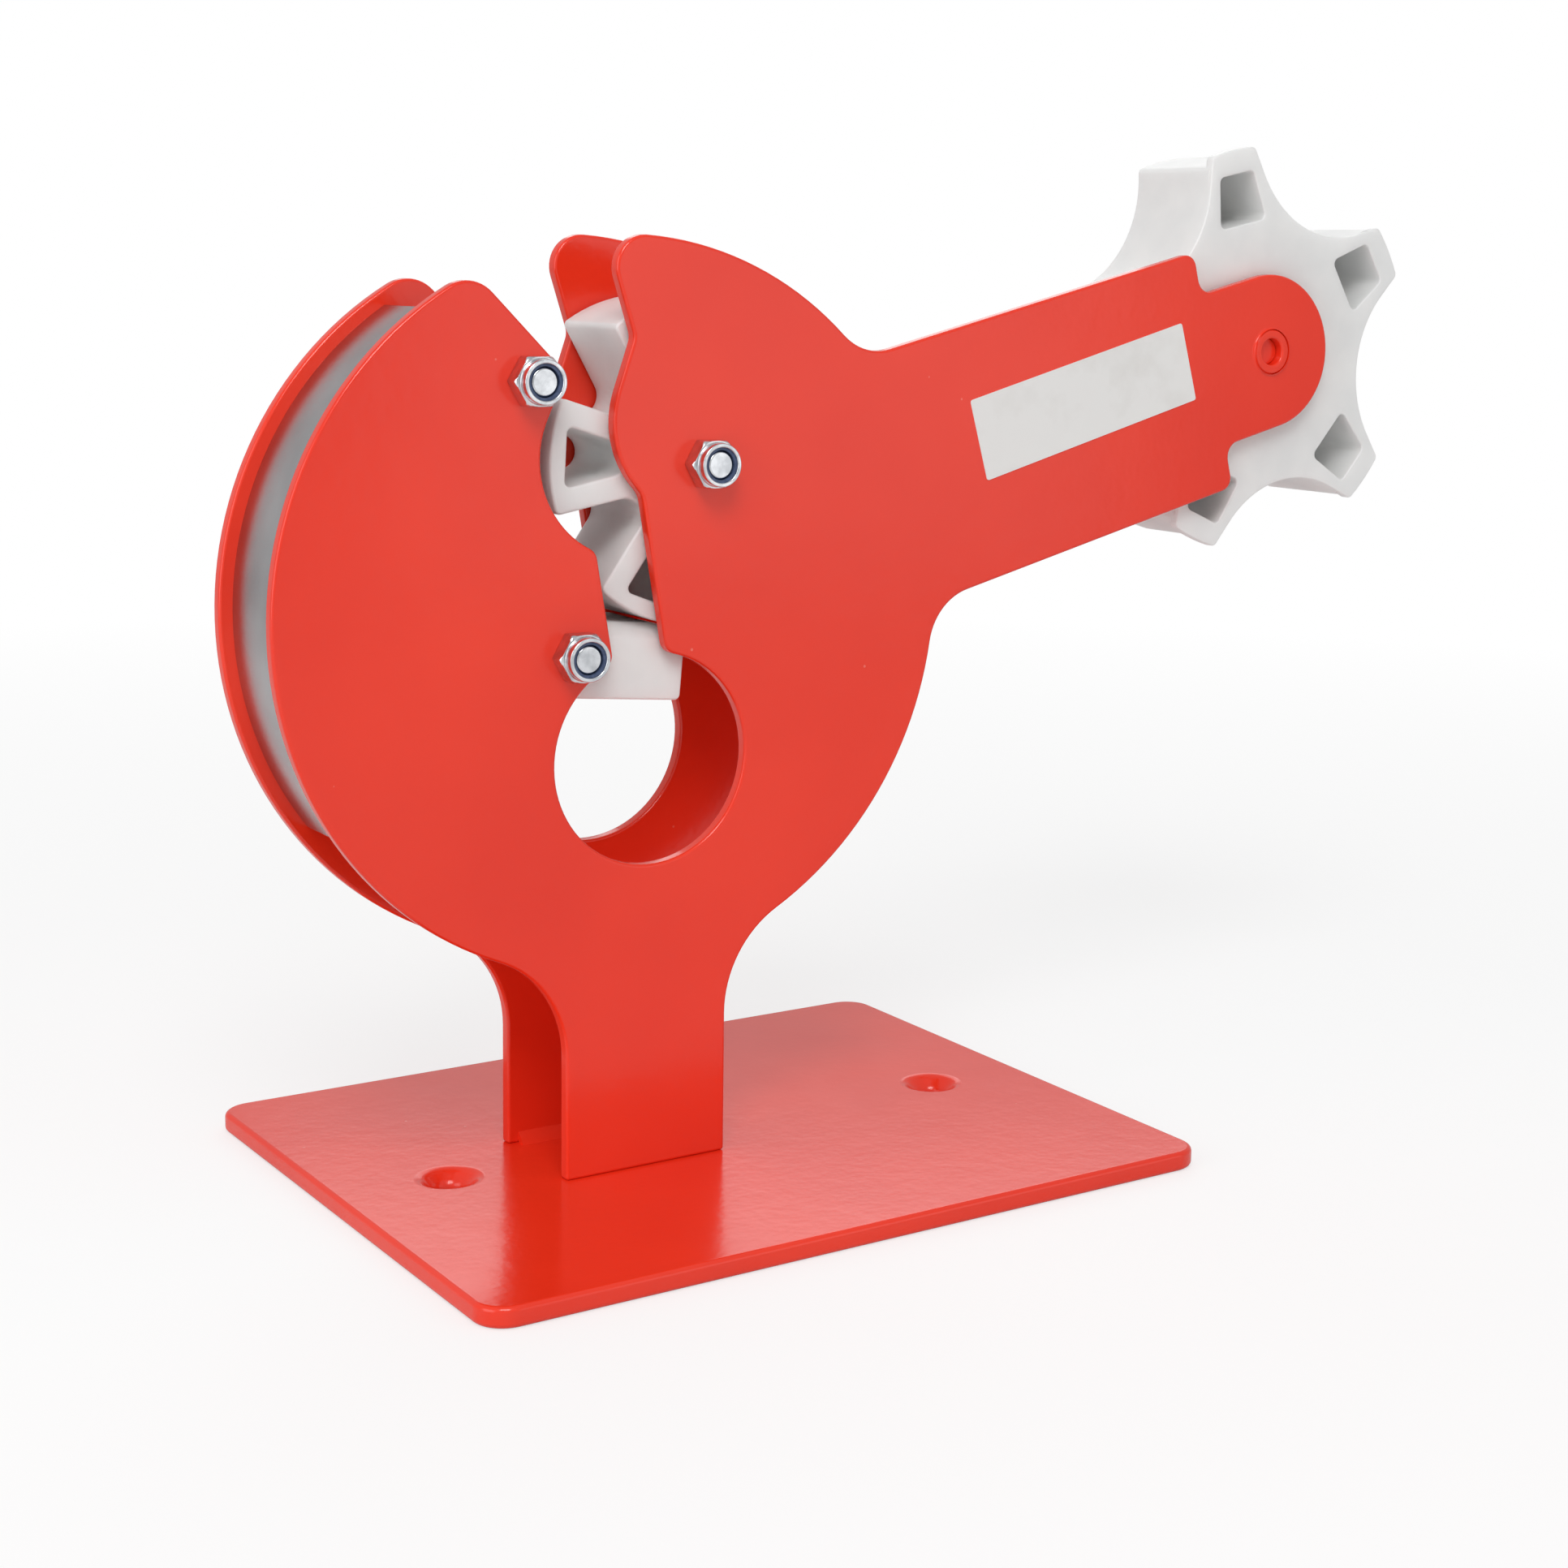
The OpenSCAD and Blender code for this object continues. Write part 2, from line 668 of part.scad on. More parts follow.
// Outline of the tape hub out to radius r
function hub_outline(r, corner) =
    let (
        step = 360 / hub_lobes,
        w = hub_tip - asin(corner / (hub_r - corner)),
        c = (hub_r - corner) * ray(step / 2 - w),
        d = corner - hub_valley,
        rho = (c * c - d * d) / (2 * (c[0] + d)),
        hollow = [rho, step / 2, rho - hub_valley],
        tip = hub_tip - (r - hub_r) * 0.9
    )
    belt([for (i = [0:hub_lobes - 1]) each lobe(hub_phase + i * step, r, tip, corner, hollow)]);

module tape_hub() {
    corner = 1.2;
    out = hub_r - hub_wall - corner;
    inn = hub_core + 2 * corner;
    half = out * sin(hub_tip) - hub_wall / 2;
    color([0.93, 0.93, 0.93]) side() at(arm_c) difference() {
        union() {
            slab(hub_outline(hub_r, corner), hub_back, hub_front - lip_t / 2);
            slab(hub_outline(lip_r, corner), hub_front - lip_t, hub_front);
        }
        for (i = [0:hub_lobes - 1]) rotate([0, 0, hub_phase + i * 360 / hub_lobes]) slab(belt([
            [out, corner - half, corner],
            [out, half - corner, corner],
            [inn, half, corner],
            [inn, -half, corner]
        ]), hub_front - pocket_deep, hub_front + eps);
        bar(axle_r + run_fit, hub_back - eps, hub_front + eps);
    }
}

module hub_axle_bolt() {
    color([0.72, 0.73, 0.75]) side() at(arm_c) difference() {
        union() {
            bar(axle_r, axle_y, wall);
            bar(bolt_r, wall - eps, wall + plate_t / 2);
            bar(axle_head_r, axle_y - axle_head_h, axle_y);
        }
        translate([0, 0, axle_y - axle_head_h - eps])
            cylinder(r = 0.4 * axle_head_r, h = 0.6 * axle_head_h + eps, $fn = 6);
    }
}

module hub_washer() {
    color([0.75, 0.76, 0.78]) side() at(arm_c)
        tube(washer_r, axle_r + bolt_fit, axle_y, washer_y);
}

base_plate();
front_side_plate();
back_side_plate();
leg_weld_beads();
cover_strip();
pivot_bolts();
locknuts();
locknut_nylon_rings();
entry_spacer_tube();
wheel_axle_tube();
gate_axle_tube();
star_wheel();
gate_block();
gate_spring();
gate_stop_pin();
knife_blade();
blade_screws();
tape_hub();
hub_axle_bolt();
hub_washer();
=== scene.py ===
"""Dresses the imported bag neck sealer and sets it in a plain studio.

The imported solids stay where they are. Pieces whose arrises show are remade here with
rounded edges, and every piece gets its own finish.
"""

import logging
import math
from dataclasses import dataclass, field
from enum import Enum
from typing import Callable, Optional, Union

import bpy
from mathutils import Matrix, Vector


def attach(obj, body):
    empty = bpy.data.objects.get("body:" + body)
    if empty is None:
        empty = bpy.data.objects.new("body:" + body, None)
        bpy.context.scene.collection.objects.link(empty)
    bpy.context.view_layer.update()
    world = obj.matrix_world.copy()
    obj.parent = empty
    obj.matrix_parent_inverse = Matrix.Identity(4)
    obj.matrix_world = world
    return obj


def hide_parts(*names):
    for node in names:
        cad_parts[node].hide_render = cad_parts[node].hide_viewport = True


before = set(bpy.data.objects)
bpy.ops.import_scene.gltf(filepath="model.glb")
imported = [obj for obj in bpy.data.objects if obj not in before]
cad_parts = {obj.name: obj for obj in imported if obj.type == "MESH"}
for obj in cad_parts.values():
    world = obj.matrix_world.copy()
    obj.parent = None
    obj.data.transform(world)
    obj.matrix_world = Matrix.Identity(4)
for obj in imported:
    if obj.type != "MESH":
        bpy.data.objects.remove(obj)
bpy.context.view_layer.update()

log = logging.getLogger("sealer")

MM = 0.001
SPECK_CORE = 0.6  # share of a speck's radius that shows in full
Colour = tuple[float, float, float]
Value = Union["Wire", float, tuple]
EdgeTest = Callable[[Vector, Vector], bool]


# ---------------------------------------------------------------- shader maths


class Wire:
    """An output socket that can be used in Python sums."""

    def __init__(self, bench: "NodeBench", socket: bpy.types.NodeSocket) -> None:
        """Keeps the socket and the bench that its node stands on."""
        self.bench = bench
        self.socket = socket

    def _sum(self, operation: str, first: Value, second: Value) -> "Wire":
        """Adds one Math node.

        Args:
            operation: Name of the Math node's operation.
            first: Upper input.
            second: Lower input.

        Returns:
            The result's wire.
        """
        return self.bench.make("ShaderNodeMath", {"operation": operation}, {0: first, 1: second})

    def __add__(self, other: Value) -> "Wire":
        """Wire + value."""
        return self._sum("ADD", self, other)

    def __radd__(self, other: Value) -> "Wire":
        """Value + wire."""
        return self._sum("ADD", other, self)

    def __sub__(self, other: Value) -> "Wire":
        """Wire - value."""
        return self._sum("SUBTRACT", self, other)

    def __rsub__(self, other: Value) -> "Wire":
        """Value - wire."""
        return self._sum("SUBTRACT", other, self)

    def __mul__(self, other: Value) -> "Wire":
        """Wire * value."""
        return self._sum("MULTIPLY", self, other)

    def __rmul__(self, other: Value) -> "Wire":
        """Value * wire."""
        return self._sum("MULTIPLY", other, self)

    def above(self, other: Value) -> "Wire":
        """The larger of the wire and a value."""
        return self._sum("MAXIMUM", self, other)


class NodeBench:
    """Node tree of one material or of the world, with a way to add nodes to it."""

    def __init__(self, owner: Union[bpy.types.Material, bpy.types.World]) -> None:
        """Clears the owner's node tree and starts afresh."""
        owner.use_nodes = True
        self.tree = owner.node_tree
        self.tree.nodes.clear()

    def make(
        self,
        kind: str,
        settings: Optional[dict] = None,
        sockets: Optional[dict] = None,
        out: Union[int, str] = 0,
    ) -> Optional[Wire]:
        """Adds one node.

        Args:
            kind: Blender's name of the node type.
            settings: Node properties, set before the sockets.
            sockets: Values or wires by socket name or number.
            out: Name or number of the output to return.

        Returns:
            The wire of that output, or nothing where the node has none.
        """
        node = self.tree.nodes.new(kind)
        for key, value in (settings or {}).items():
            setattr(node, key, value)
        for key, value in (sockets or {}).items():
            target = node.inputs[key]
            if isinstance(value, Wire):
                self.tree.links.new(value.socket, target)
            elif isinstance(value, tuple) and target.type == "RGBA":
                target.default_value = (*value[:3], 1.0)
            else:
                target.default_value = value
        return Wire(self, node.outputs[out]) if len(node.outputs) else None

    def place(self) -> Wire:
        """The point on the piece, in the object's own metres."""
        return self.make("ShaderNodeTexCoord", out="Object")

    def cloud(self, at: Value, size: float, detail: float = 2.0, rough: float = 0.5) -> Wire:
        """Soft noise.

        Args:
            at: Where it is read.
            size: Size of one patch in metres.
            detail: Octaves of finer noise on top.
            rough: Strength of those octaves.

        Returns:
            A value round 0.5.
        """
        return self.make(
            "ShaderNodeTexNoise",
            {"noise_dimensions": "3D"},
            {"Vector": at, "Scale": 1.0 / size, "Detail": detail, "Roughness": rough},
            "Fac",
        )

    def stretched(self, at: Value, scale: tuple) -> Wire:
        """The point scaled along each axis, for grain that runs one way."""
        return self.make("ShaderNodeMapping", {}, {"Vector": at, "Scale": scale})

    def specks(self, at: Value, gap: float, share: float) -> Wire:
        """Small round specks.

        Args:
            at: Where they are read.
            gap: Distance between specks in metres.
            share: Radius of a speck over that distance.

        Returns:
            1 inside a speck and 0 outside.
        """
        sockets = {"Vector": at, "Scale": 1.0 / gap}
        near = self.make("ShaderNodeTexVoronoi", {}, sockets, "Distance")
        return self.ramp(near, share * SPECK_CORE, share, 1.0, 0.0)

    def ramp(
        self, value: Value, lo: float, hi: float, at_lo: float = 0.0, at_hi: float = 1.0
    ) -> Wire:
        """Maps lo..hi to at_lo..at_hi and holds it there outside."""
        return self.make(
            "ShaderNodeMapRange",
            {"clamp": True},
            {"Value": value, "From Min": lo, "From Max": hi, "To Min": at_lo, "To Max": at_hi},
        )

    def blend(self, share: Value, first: Value, second: Value) -> Wire:
        """Mixes two colours."""
        return self.make(
            "ShaderNodeMix", {"data_type": "RGBA"}, {"Factor": share, 6: first, 7: second}, out=2
        )

    def mottle(self, cloud: Value, lo: float, hi: float, first: Colour, second: Colour) -> Wire:
        """Goes from the first colour to the second as a cloud goes from lo to hi."""
        return self.blend(self.ramp(cloud, lo, hi), first, second)

    def bump(self, height: Value, depth: float) -> Wire:
        """Turns a height of 0..1 into a normal.

        Args:
            height: The height field.
            depth: Metres between 0 and 1.

        Returns:
            The normal's wire.
        """
        return self.make(
            "ShaderNodeBump", {}, {"Height": height, "Distance": depth, "Strength": 1.0}
        )


# -------------------------------------------------------------------- finishes


@dataclass(frozen=True)
class Finish:
    """A surface finish: its material's name, its slot and its least roughness."""

    title: str
    slot: str
    roughness: float

    def sockets(self, bench: NodeBench) -> dict:
        """The surface shader's inputs; each finish gives its own."""
        raise NotImplementedError

    def material(self) -> bpy.types.Material:
        """Builds the material once and hands it out again after that."""
        known = bpy.data.materials.get(self.title)
        if known is not None:
            return known
        made = bpy.data.materials.new(self.title)
        bench = NodeBench(made)
        skin = bench.make("ShaderNodeBsdfPrincipled", {}, self.sockets(bench))
        bench.make("ShaderNodeOutputMaterial", {}, {"Surface": skin})
        return made


@dataclass(frozen=True)
class PowderCoat(Finish):
    """Glossy powder coat with orange peel, faint clouding and a few specks of dust."""

    colour: Colour = (0.84, 0.037, 0.012)
    deep: Colour = (0.78, 0.030, 0.010)
    dust: Colour = (0.86, 0.34, 0.26)
    dust_show: float = 0.35
    dust_gap: float = 14 * MM
    dust_share: float = 0.022
    clouding: float = 45 * MM
    gloss_patch: float = 9 * MM
    peel: float = 1.3 * MM
    wave: float = 4.5 * MM
    wave_weight: float = 1.2
    depth: float = 0.022 * MM

    def sockets(self, bench: NodeBench) -> dict:
        """Red that clouds a little, with the peel in its normal."""
        at = bench.place()
        broad = bench.cloud(at, self.clouding)
        dust = bench.specks(at, self.dust_gap, self.dust_share)
        red = bench.mottle(broad, 0.35, 0.65, self.colour, self.deep)
        fine = bench.cloud(at, self.peel, 1.5, 0.4)
        peel = fine + bench.cloud(at, self.wave, 1.0) * self.wave_weight
        return {
            "Base Color": bench.blend(dust * self.dust_show, red, self.dust),
            "Roughness": self.roughness + bench.cloud(at, self.gloss_patch, 3.0) * 0.07,
            "IOR": 1.5,
            "Normal": bench.bump(peel, self.depth),
        }


@dataclass(frozen=True)
class MouldedNylon(Finish):
    """White nylon: satin, slightly translucent and slightly mottled."""

    colour: Colour = (0.78, 0.78, 0.77)
    shade: Colour = (0.73, 0.735, 0.73)
    patch: float = 11 * MM
    fine: float = 0.7 * MM
    tool_mark: float = 2.2 * MM
    tool_grain: tuple = (1.0, 14.0, 1.0)
    depth: float = 0.010 * MM
    translucency: float = 0.6
    light_reach: float = 0.006

    def sockets(self, bench: NodeBench) -> dict:
        """Off-white with soft clouds and the faint marks of machining."""
        at = bench.place()
        cloud = bench.cloud(at, self.patch, 3.0)
        fine = bench.cloud(at, self.fine)
        tool = bench.cloud(bench.stretched(at, self.tool_grain), self.tool_mark)
        return {
            "Base Color": bench.mottle(cloud, 0.36, 0.64, self.colour, self.shade),
            "Roughness": self.roughness + cloud * 0.12,
            "IOR": 1.53,
            "Subsurface Weight": self.translucency,
            "Subsurface Radius": (1.0, 1.0, 1.0),
            "Subsurface Scale": self.light_reach,
            "Normal": bench.bump(fine * 0.6 + tool * 0.4, self.depth),
        }


@dataclass(frozen=True)
class ZincPlate(Finish):
    """Bright zinc with dulled patches and a fine grain."""

    colour: Colour = (0.76, 0.78, 0.81)
    dull: Colour = (0.56, 0.58, 0.61)
    patch: float = 2.6 * MM
    fine: float = 0.3 * MM
    depth: float = 0.004 * MM

    def sockets(self, bench: NodeBench) -> dict:
        """Metal whose gloss changes from patch to patch."""
        at = bench.place()
        patch = bench.cloud(at, self.patch, 3.0)
        fine = bench.cloud(at, self.fine)
        return {
            "Base Color": bench.mottle(patch, 0.4, 0.62, self.colour, self.dull),
            "Metallic": 1.0,
            "Roughness": self.roughness + patch * 0.16,
            "Normal": bench.bump(fine, self.depth),
        }


@dataclass(frozen=True)
class BrushedSteel(Finish):
    """Bare steel with a grain that runs along one axis."""

    colour: Colour
    dull: Colour
    grain: tuple
    pitch: float = 0.5 * MM
    stain: float = 14 * MM
    depth: float = 0.004 * MM

    def sockets(self, bench: NodeBench) -> dict:
        """Metal with streaks along the grain."""
        at = bench.place()
        streak = bench.cloud(bench.stretched(at, self.grain), self.pitch, 3.0)
        stain = bench.cloud(at, self.stain)
        return {
            "Base Color": bench.mottle(stain, 0.35, 0.7, self.colour, self.dull),
            "Metallic": 1.0,
            "Roughness": self.roughness + streak * 0.14,
            "Normal": bench.bump(streak, self.depth),
        }


@dataclass(frozen=True)
class InsertNylon(Finish):
    """Dark blue nylon of the rings in the lock nuts."""

    colour: Colour = (0.035, 0.055, 0.12)
    worn: Colour = (0.07, 0.10, 0.19)
    patch: float = 0.9 * MM
    depth: float = 0.02 * MM

    def sockets(self, bench: NodeBench) -> dict:
        """Dull plastic, paler where the thread has rubbed it."""
        rub = bench.cloud(bench.place(), self.patch, 3.0)
        return {
            "Base Color": bench.mottle(rub, 0.4, 0.65, self.colour, self.worn),
            "Roughness": self.roughness + rub * 0.15,
            "Normal": bench.bump(rub, self.depth),
        }


@dataclass(frozen=True)
class LabelFilm(Finish):
    """Blank white label film with a faint wave where it is stuck down."""

    colour: Colour = (0.76, 0.755, 0.74)
    grime: Colour = (0.70, 0.69, 0.67)
    patch: float = 8 * MM
    wave: float = 6 * MM
    depth: float = 0.03 * MM

    def sockets(self, bench: NodeBench) -> dict:
        """Warm white, a little dirty in patches."""
        at = bench.place()
        dirt = bench.cloud(at, self.patch, 4.0, 0.6)
        wave = bench.cloud(at, self.wave, 1.0)
        return {
            "Base Color": bench.mottle(dirt, 0.5, 0.8, self.colour, self.grime),
            "Roughness": self.roughness + dirt * 0.1,
            "Normal": bench.bump(wave, self.depth),
        }


RED = PowderCoat("red_powder_coat_gloss", "red_powder_coat", 0.15)
WHITE = MouldedNylon("white_nylon_satin", "white_nylon", 0.36)
ZINC = ZincPlate("bright_zinc", "zinc_steel", 0.14)
STRIP = BrushedSteel(
    "rolled_strip_steel", "sheet_steel", 0.16,
    (0.50, 0.51, 0.52), (0.38, 0.39, 0.40), (1.0, 30.0, 1.0),
)
SLEEVE = BrushedSteel(
    "turned_sleeve_steel", "tube_steel", 0.24,
    (0.60, 0.61, 0.63), (0.46, 0.47, 0.49), (1.0, 24.0, 1.0),
)
SPRING = BrushedSteel(
    "drawn_spring_wire", "spring_steel", 0.28,
    (0.42, 0.43, 0.45), (0.30, 0.31, 0.33), (1.0, 1.0, 1.0),
)
BLADE = BrushedSteel(
    "ground_blade_steel", "blade_steel", 0.16,
    (0.72, 0.74, 0.77), (0.62, 0.64, 0.67), (1.0, 20.0, 1.0),
)
INSERT = InsertNylon("lock_nut_nylon", "ring_nylon", 0.42)
FILM = LabelFilm("blank_label_film", "white_nylon", 0.38)


# -------------------------------------------------------------- mesh workbench


LOOSE = 0.002 * MM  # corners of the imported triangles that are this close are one
FLAT = math.radians(0.4)  # faces that meet at less than this are one flat face
SHORTEST = 0.02 * MM  # shorter edges would spoil the rounding
SOFT = math.radians(50)  # edges blunter than this are shaded smooth
BIG_FACES_RULE = 80  # how far big faces rule the shading, where 50 is even


class Arris(Enum):
    """How a piece's edges are finished: radius in metres, facets, and the least angle."""

    COATED = (0.55 * MM, 4, 32.0)
    COATED_THICK = (0.9 * MM, 4, 32.0)
    MOULDED = (0.45 * MM, 3, 48.0)
    MOULDED_LIP = (0.3 * MM, 3, 48.0)
    TURNED = (0.2 * MM, 3, 50.0)
    SHEARED = (0.15 * MM, 2, 40.0)


def let_go() -> None:
    """Selects nothing."""
    for piece in list(bpy.context.selected_objects):
        piece.select_set(False)


def take_up(piece: bpy.types.Object) -> None:
    """Selects one piece alone and makes it active."""
    let_go()
    bpy.context.view_layer.objects.active = piece
    piece.select_set(True)


def edit(piece: bpy.types.Object, work: Callable[[], None]) -> None:
    """Runs a few operators on a piece in edit mode, with all of it selected.

    Args:
        piece: The mesh object to work on.
        work: Called in edit mode.
    """
    take_up(piece)
    bpy.ops.object.mode_set(mode="EDIT")
    bpy.ops.mesh.select_all(action="SELECT")
    work()
    bpy.ops.object.mode_set(mode="OBJECT")


def pick(piece: bpy.types.Object, wanted: EdgeTest) -> int:
    """Selects the edges whose two ends pass a test.

    Args:
        piece: The mesh object, in object mode.
        wanted: Says whether an edge between two points counts.

    Returns:
        How many were selected.
    """
    mesh = piece.data
    for group in (mesh.vertices, mesh.edges, mesh.polygons):
        group.foreach_set("select", [False] * len(group))
    bpy.context.tool_settings.mesh_select_mode = (False, True, False)
    for one in mesh.edges:
        one.select = wanted(*(mesh.vertices[i].co for i in one.vertices))
    return sum(one.select for one in mesh.edges)


def apply_all(piece: bpy.types.Object) -> None:
    """Applies every modifier on a piece, top to bottom."""
    take_up(piece)
    for modifier in list(piece.modifiers):
        bpy.ops.object.modifier_apply(modifier=modifier.name)


def bevel_sharp(piece: bpy.types.Object, arris: Arris, spared: EdgeTest) -> None:
    """Rounds the sharp edges of a piece, apart from those that are spared.

    Args:
        piece: The mesh object.
        arris: The kind of edge.
        spared: Says whether an edge between two points stays sharp.
    """
    width, facets, angle = arris.value
    mesh = piece.data

    def find() -> None:
        """Selects the sharp edges."""
        bpy.ops.mesh.select_all(action="DESELECT")
        bpy.ops.mesh.edges_select_sharp(sharpness=math.radians(angle))

    bpy.context.tool_settings.mesh_select_mode = (False, True, False)
    edit(piece, find)
    ends = [[mesh.vertices[i].co for i in one.vertices] for one in mesh.edges]
    kept = [one.select and not spared(*pair) for one, pair in zip(mesh.edges, ends)]
    for group in (mesh.vertices, mesh.polygons):
        group.foreach_set("select", [False] * len(group))
    mesh.edges.foreach_set("select", kept)
    bpy.ops.object.mode_set(mode="EDIT")
    bpy.ops.mesh.bevel(offset=width, segments=facets, clamp_overlap=False, loop_slide=False)
    bpy.ops.object.mode_set(mode="OBJECT")


def round_off(piece: bpy.types.Object, arris: Arris, spared: Optional[EdgeTest] = None) -> None:
    """Rounds a piece's edges and evens out its shading.

    Args:
        piece: The mesh object.
        arris: The kind of edge.
        spared: Says whether an edge between two points stays sharp, where some do.
    """
    width, facets, angle = arris.value
    if spared is not None:
        bevel_sharp(piece, arris, spared)
    else:
        rounding = piece.modifiers.new("rounding", "BEVEL")
        rounding.width = width
        rounding.segments = facets
        rounding.limit_method = "ANGLE"
        rounding.angle_limit = math.radians(angle)
        rounding.use_clamp_overlap = False
        rounding.loop_slide = False
        apply_all(piece)
    take_up(piece)
    bpy.ops.object.shade_smooth_by_angle(angle=SOFT)
    evening = piece.modifiers.new("evening", "WEIGHTED_NORMAL")
    evening.mode = "FACE_AREA"
    evening.weight = BIG_FACES_RULE
    evening.keep_sharp = True
    apply_all(piece)


def remake(
    node: str, name: str, arris: Arris, spared: Optional[EdgeTest] = None
) -> bpy.types.Object:
    """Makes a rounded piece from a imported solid.

    Args:
        node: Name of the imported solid.
        name: Name of the new piece.
        arris: The kind of edge it gets.
        spared: Says whether an edge between two points stays sharp, where some do.

    Returns:
        The new piece, with its place in its mesh.
    """
    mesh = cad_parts[node].data.copy()
    mesh.name = name
    piece = bpy.data.objects.new(name, mesh)
    bpy.context.scene.collection.objects.link(piece)

    def weld() -> None:
        """Joins the loose triangles and opens up the flat faces."""
        bpy.ops.mesh.customdata_custom_splitnormals_clear()
        bpy.ops.mesh.remove_doubles(threshold=LOOSE)
        bpy.ops.mesh.dissolve_limited(angle_limit=FLAT, use_dissolve_boundaries=False)
        bpy.ops.mesh.select_all(action="SELECT")
        bpy.ops.mesh.remove_doubles(threshold=SHORTEST)

    edit(piece, weld)
    round_off(piece, arris, spared)
    return piece


def dress(piece: bpy.types.Object, finish: Finish) -> None:
    """Puts a finish in every material slot of a piece.

    Args:
        piece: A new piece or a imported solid.
        finish: The finish.
    """
    made = finish.material()
    if not piece.material_slots:
        piece.data.materials.append(made)
    for one in piece.material_slots:
        one.material = made


def fit(piece: bpy.types.Object, body: str, finish: Finish, *nodes: str) -> None:
    """Dresses a new piece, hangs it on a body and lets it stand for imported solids.

    Args:
        piece: The new piece.
        body: Name of the body it moves with.
        finish: Its finish.
        nodes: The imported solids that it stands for.
    """
    dress(piece, finish)
    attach(piece, body)
    if nodes:
        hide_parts(*nodes)
    log.info("%s rides on %s: %d faces", piece.name, body, len(piece.data.polygons))


# --------------------------------------------------------------- sub-assemblies


@dataclass
class PaintedFrame:
    """Base plate, the two side plates and the weld beads, all powder coated."""

    plates: dict[str, Arris] = field(
        default_factory=lambda: {
            "base_plate": Arris.COATED_THICK,
            "front_side_plate": Arris.COATED,
            "back_side_plate": Arris.COATED,
        }
    )

    def build(self) -> None:
        """Makes each plate with its rounded coat and paints the beads."""
        for node, arris in self.plates.items():
            fit(remake(node, node + "_coated", arris), "frame", RED, node)
        dress(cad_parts["leg_weld_beads"], RED)


@dataclass
class CoverStrip:
    """Bright steel strip that closes the gap between the plates."""

    def build(self) -> None:
        """Takes the sharp edge off the strip."""
        strip = remake("cover_strip", "cover_strip_rolled", Arris.SHEARED)
        fit(strip, "frame", STRIP, "cover_strip")


@dataclass
class Fasteners:
    """Through bolts, lock nuts and the sleeves they clamp."""

    sleeves: tuple = ("entry_spacer_tube", "wheel_axle_tube", "gate_axle_tube")

    def build(self) -> None:
        """Rounds the nuts' crowns and the bolts, and dresses the rest."""
        nuts = remake("locknuts", "locknuts_crowned", Arris.TURNED)
        fit(nuts, "frame", ZINC, "locknuts")
        bolts = remake("pivot_bolts", "pivot_bolts_plated", Arris.TURNED)
        fit(bolts, "frame", ZINC, "pivot_bolts")
        dress(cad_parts["locknut_nylon_rings"], INSERT)
        for sleeve in self.sleeves:
            dress(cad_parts[sleeve], SLEEVE)


@dataclass
class StarWheel:
    """Five-lobed wheel that carries the bag's neck past the tape."""

    def build(self) -> None:
        """Rounds the wheel's moulded edges."""
        wheel = remake("star_wheel", "star_wheel_moulded", Arris.MOULDED)
        fit(wheel, "star_wheel", WHITE, "star_wheel")


@dataclass
class KnifeGate:
    """Sprung gate with its knife, its spring and the pin that stops it."""

    def build(self) -> None:
        """Rounds the gate's block and dresses the steel parts."""
        block = remake("gate_block", "gate_block_moulded", Arris.MOULDED)
        fit(block, "gate", WHITE, "gate_block")
        dress(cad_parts["knife_blade"], BLADE)
        dress(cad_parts["blade_screws"], ZINC)
        dress(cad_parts["gate_spring"], SPRING)
        dress(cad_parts["gate_stop_pin"], SLEEVE)


@dataclass
class TapeHub:
    """Lobed hub that takes the tape roll's core, with its axle bolt and washer."""

    arm_back_y: float = -10.0 * MM
    skin: float = 0.05 * MM
    lip_y: tuple = (-9.5 * MM, -7.7 * MM)

    def build(self) -> None:
        """Rounds the hub and its bolt, and coats the bolt's end in the arm's hole."""
        hub = remake("tape_hub", "tape_hub_moulded", Arris.MOULDED_LIP, self._behind_lip)
        fit(hub, "tape_hub", WHITE, "tape_hub")
        bolt = remake("hub_axle_bolt", "hub_axle_bolt_plated", Arris.TURNED)
        fit(bolt, "frame", ZINC, "hub_axle_bolt")
        bolt.data.materials.append(RED.material())
        for face in bolt.data.polygons:
            if face.center.y < self.arm_back_y + self.skin:
                face.material_index = 1
        dress(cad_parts["hub_washer"], ZINC)

    def _behind_lip(self, one: Vector, other: Vector) -> bool:
        """True for the small edges where the lip runs out, which stay sharp."""
        near, far = self.lip_y
        return near < one.y < far and near < other.y < far


